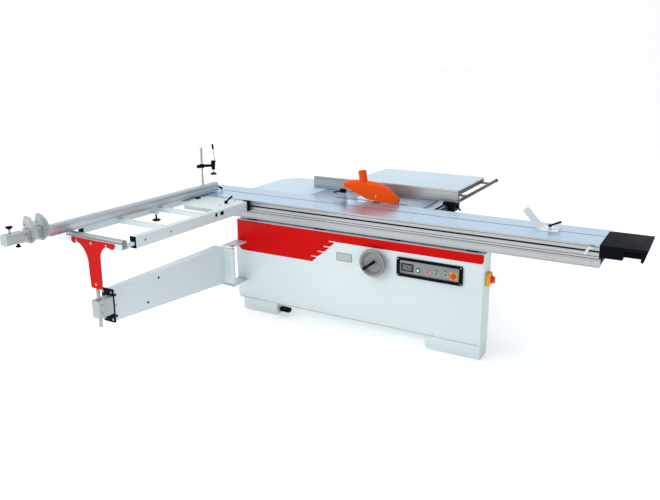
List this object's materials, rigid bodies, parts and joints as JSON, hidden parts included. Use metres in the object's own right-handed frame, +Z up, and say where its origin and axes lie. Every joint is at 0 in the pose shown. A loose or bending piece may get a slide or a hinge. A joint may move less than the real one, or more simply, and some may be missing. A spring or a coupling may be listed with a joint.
{
  "type": "panel saw",
  "caption": "Sliding-table panel saw: long front cabinet, aluminium sliding table with swing-arm outrigger, crosscut and rip fences, tilting saw unit under a hooded guard.",
  "frame": {"origin": "on the floor, under the middle of the bounding box", "axes": "+Z up; +X along the sliding table towards the infeed end; +Y from the operator's side towards the rip table"},
  "size_m": [3.46, 3.64, 1.2701],
  "materials": {
    "cabinet_white": "semi-gloss powder coat, very light grey",
    "panel_red": "glossy red powder coat",
    "guard_orange": "orange moulded plastic",
    "anodised": "clear anodised extrusion, fine lengthwise grain",
    "cast_iron": "ground or painted casting",
    "steel": "turned or ground steel",
    "chrome": "bright plated steel",
    "black_plastic": "black moulded plastic",
    "rubber": "matt black rubber",
    "wheel_grey": "grey enamelled casting",
    "plate_grey": "satin grey plate",
    "motor_grey": "dark grey enamel",
    "signal_yellow": "yellow moulded plastic",
    "signal_red": "red moulded plastic",
    "signal_green": "green moulded plastic",
    "signal_white": "white enamel"
  },
  "bodies": {
    "base": {"front_cabinet": "cabinet_white", "body_cabinet": "cabinet_white", "plinths": "cabinet_white", "red_panel": "panel_red", "control_bezel": "black_plastic", "control_plate": "plate_grey", "isolator_base": "signal_yellow", "electrics_box": "motor_grey", "fixed_rail": "anodised", "main_table": "cast_iron", "table_insert": "steel", "outfeed_table": "cabinet_white", "rip_table": "anodised", "rip_bar": "steel", "hinge_bracket": "cabinet_white", "trunnions": "cast_iron"},
    "service_door": {"service_door": "cabinet_white"},
    "isolator_knob": {"isolator_knob": "signal_red"},
    "white_button": {"white_button": "signal_white"},
    "red_button": {"red_button": "signal_red"},
    "green_button_main": {"green_button_main": "signal_green"},
    "green_button_scoring": {"green_button_scoring": "signal_green"},
    "estop_button": {"estop_button": "signal_red"},
    "handwheel": {"handwheel": "wheel_grey"},
    "handwheel_grip": {"handwheel_grip": "black_plastic"},
    "tilt_frame": {"tilt_frame": "cast_iron", "scoring_unit": "motor_grey"},
    "saw_unit": {"saw_carriage": "cast_iron", "main_motor": "motor_grey", "drive_belt": "rubber", "riving_knife": "steel"},
    "arbor": {"main_arbor": "steel", "main_blade": "chrome"},
    "motor_pulley": {"motor_pulley": "steel"},
    "scoring": {"scoring_blade": "chrome"},
    "guard_clamp": {"guard_clamp": "black_plastic"},
    "guard_hood": {"guard_hood": "guard_orange"},
    "sliding_table": {"sliding_table": "anodised", "end_guard": "black_plastic", "outrigger_frame": "cabinet_white", "arm_bracket": "panel_red"},
    "ball_cage": {"ball_cage": "steel"},
    "table_latch": {"table_latch": "chrome"},
    "edging_shoe": {"edging_shoe": "signal_white"},
    "shoe_lever": {"shoe_lever": "black_plastic"},
    "end_roller": {"end_roller": "anodised"},
    "outrigger_lever": {"outrigger_lever": "black_plastic"},
    "crosscut_fence": {"crosscut_fence": "anodised", "hold_down_post": "chrome"},
    "fence_extension": {"fence_extension": "anodised"},
    "flip_stop_inner": {"flip_stop_inner": "wheel_grey"},
    "flip_stop_outer": {"flip_stop_outer": "wheel_grey"},
    "hold_down_arm": {"hold_down_arm": "black_plastic"},
    "hold_down_pad": {"hold_down_pad": "black_plastic"},
    "hold_down_lever": {"hold_down_lever": "chrome"},
    "swing_arm": {"swing_arm": "cabinet_white"},
    "arm_tube": {"arm_tube": "steel"},
    "rip_fence": {"rip_fence": "anodised", "fence_carriage": "black_plastic"},
    "fence_lever": {"fence_lever": "black_plastic"}
  },
  "joints": [
    {"name": "door_hinge", "type": "hinge", "parent": "base", "child": "service_door", "pos_m": [-0.7463, 0.29, 0.41], "axis": [0, 0, 1], "range_deg": [0, 100]},
    {"name": "isolator_turn", "type": "hinge", "parent": "base", "child": "isolator_knob", "pos_m": [0.8216, -0.004, 0.548], "axis": [1, 0, 0], "range_deg": [-90, 0]},
    {"name": "white_button_press", "type": "slide", "parent": "base", "child": "white_button", "axis": [0, 1, 0], "range_m": [0, 0.004], "stiffness_N_per_m": 500},
    {"name": "red_button_press", "type": "slide", "parent": "base", "child": "red_button", "axis": [0, 1, 0], "range_m": [0, 0.004], "stiffness_N_per_m": 500},
    {"name": "green_button_main_press", "type": "slide", "parent": "base", "child": "green_button_main", "axis": [0, 1, 0], "range_m": [0, 0.004], "stiffness_N_per_m": 500},
    {"name": "green_button_scoring_press", "type": "slide", "parent": "base", "child": "green_button_scoring", "axis": [0, 1, 0], "range_m": [0, 0.004], "stiffness_N_per_m": 500},
    {"name": "estop_button_press", "type": "slide", "parent": "base", "child": "estop_button", "axis": [0, 1, 0], "range_m": [0, 0.004], "stiffness_N_per_m": 500},
    {"name": "handwheel_turn", "type": "hinge", "parent": "base", "child": "handwheel", "pos_m": [0.023, -0.08, 0.567], "axis": [0, 1, 0], "range_deg": [0, 2160]},
    {"name": "grip_fold", "type": "hinge", "parent": "handwheel", "child": "handwheel_grip", "pos_m": [-0.02783, -0.1535, 0.52729], "axis": [0.6157, 0, -0.788], "range_deg": [0, 90]},
    {"name": "blade_tilt", "type": "hinge", "parent": "base", "child": "tilt_frame", "pos_m": [0, 0.36, 0.884], "axis": [-1, 0, 0], "range_deg": [0, 45]},
    {"name": "blade_raise", "type": "slide", "parent": "tilt_frame", "child": "saw_unit", "axis": [0, 0, 1], "range_m": [-0.06, 0.008]},
    {"name": "blade_spin", "type": "hinge", "parent": "saw_unit", "child": "arbor", "pos_m": [-0.25, 0.36, 0.794], "axis": [0, 1, 0], "continuous": true},
    {"name": "motor_spin", "type": "hinge", "parent": "saw_unit", "child": "motor_pulley", "pos_m": [-0.25, 0.4915, 0.5], "axis": [0, 1, 0], "continuous": true},
    {"name": "scoring_spin", "type": "hinge", "parent": "tilt_frame", "child": "scoring", "pos_m": [-0.02, 0.36, 0.8265], "axis": [0, 1, 0], "continuous": true},
    {"name": "guard_slide", "type": "slide", "parent": "saw_unit", "child": "guard_clamp", "axis": [0, 0, 1], "range_m": [-0.008, 0.06]},
    {"name": "guard_lift", "type": "hinge", "parent": "guard_clamp", "child": "guard_hood", "pos_m": [-0.487, 0.36, 0.985], "axis": [0, -1, 0], "range_deg": [0, 55]},
    {"name": "table_slide", "type": "slide", "parent": "base", "child": "sliding_table", "axis": [1, 0, 0], "range_m": [-1.2, 1.2]},
    {"name": "cage_slide", "type": "slide", "parent": "base", "child": "ball_cage", "axis": [1, 0, 0], "range_m": [-0.6, 0.6]},
    {"name": "latch_turn", "type": "hinge", "parent": "sliding_table", "child": "table_latch", "pos_m": [1.415, -0.063, 0.866], "axis": [0, 1, 0], "range_deg": [0, 60]},
    {"name": "shoe_slide", "type": "slide", "parent": "sliding_table", "child": "edging_shoe", "axis": [1, 0, 0], "range_m": [-2.2, 0.25]},
    {"name": "shoe_lever_turn", "type": "hinge", "parent": "edging_shoe", "child": "shoe_lever", "pos_m": [1.135, 0.15, 0.9046], "axis": [0, 0, 1], "range_deg": [-120, 0]},
    {"name": "roller_spin", "type": "hinge", "parent": "sliding_table", "child": "end_roller", "pos_m": [-1.555, -1.335, 0.861], "axis": [1, 0, 0], "continuous": true},
    {"name": "outrigger_lever_turn", "type": "hinge", "parent": "sliding_table", "child": "outrigger_lever", "pos_m": [-1.17, -0.205, 0.8763], "axis": [0, 0, 1], "range_deg": [0, 100]},
    {"name": "fence_pivot", "type": "hinge", "parent": "sliding_table", "child": "crosscut_fence", "pos_m": [-1.518, 0.02, 0.89], "axis": [0, 0, 1], "range_deg": [-30, 45]},
    {"name": "extension_slide", "type": "slide", "parent": "crosscut_fence", "child": "fence_extension", "axis": [0, -1, 0], "range_m": [-0.02, 0.6]},
    {"name": "stop_inner_flip", "type": "hinge", "parent": "fence_extension", "child": "flip_stop_inner", "pos_m": [-1.538, -1.572, 0.992], "axis": [0, -1, 0], "range_deg": [0, 120]},
    {"name": "stop_outer_flip", "type": "hinge", "parent": "fence_extension", "child": "flip_stop_outer", "pos_m": [-1.538, -1.655, 0.992], "axis": [0, -1, 0], "range_deg": [0, 120]},
    {"name": "clamp_height", "type": "slide", "parent": "crosscut_fence", "child": "hold_down_arm", "axis": [0, 0, 1], "range_m": [-0.03, 0.1]},
    {"name": "clamp_lever_turn", "type": "hinge", "parent": "hold_down_arm", "child": "hold_down_lever", "pos_m": [-1.498, 0.0775, 1.13], "axis": [0, -1, 0], "range_deg": [0, 90]},
    {"name": "pad_press", "type": "slide", "parent": "hold_down_arm", "child": "hold_down_pad", "axis": [0, 0, 1], "range_m": [-0.031, 0]},
    {"name": "arm_swing", "type": "hinge", "parent": "base", "child": "swing_arm", "pos_m": [-1.105, -0.24, 0.255], "axis": [0, 0, 1], "range_deg": [-47, 47]},
    {"name": "arm_extend", "type": "slide", "parent": "swing_arm", "child": "arm_tube", "axis": [-0.0767, -0.9971, 0], "range_m": [0, 0.64]},
    {"name": "fence_slide", "type": "slide", "parent": "base", "child": "rip_fence", "axis": [0, 1, 0], "range_m": [-0.2, 1]},
    {"name": "fence_lever_turn", "type": "hinge", "parent": "rip_fence", "child": "fence_lever", "pos_m": [0.3403, 0.64, 0.85], "axis": [1, 0, 0], "range_deg": [0, 70]}
  ],
  "couplings": [
    {"joint": "handwheel_turn", "follows": "blade_tilt", "ratio": 48},
    {"joint": "motor_spin", "follows": "blade_spin", "ratio": 0.65},
    {"joint": "guard_slide", "follows": "blade_raise", "ratio": -1},
    {"joint": "cage_slide", "follows": "table_slide", "ratio": 0.5},
    {"joint": "arm_swing", "follows": "table_slide", "rad_per_m": 0.672},
    {"joint": "pad_press", "follows": "clamp_lever_turn", "m_per_rad": -0.019}
  ]
}
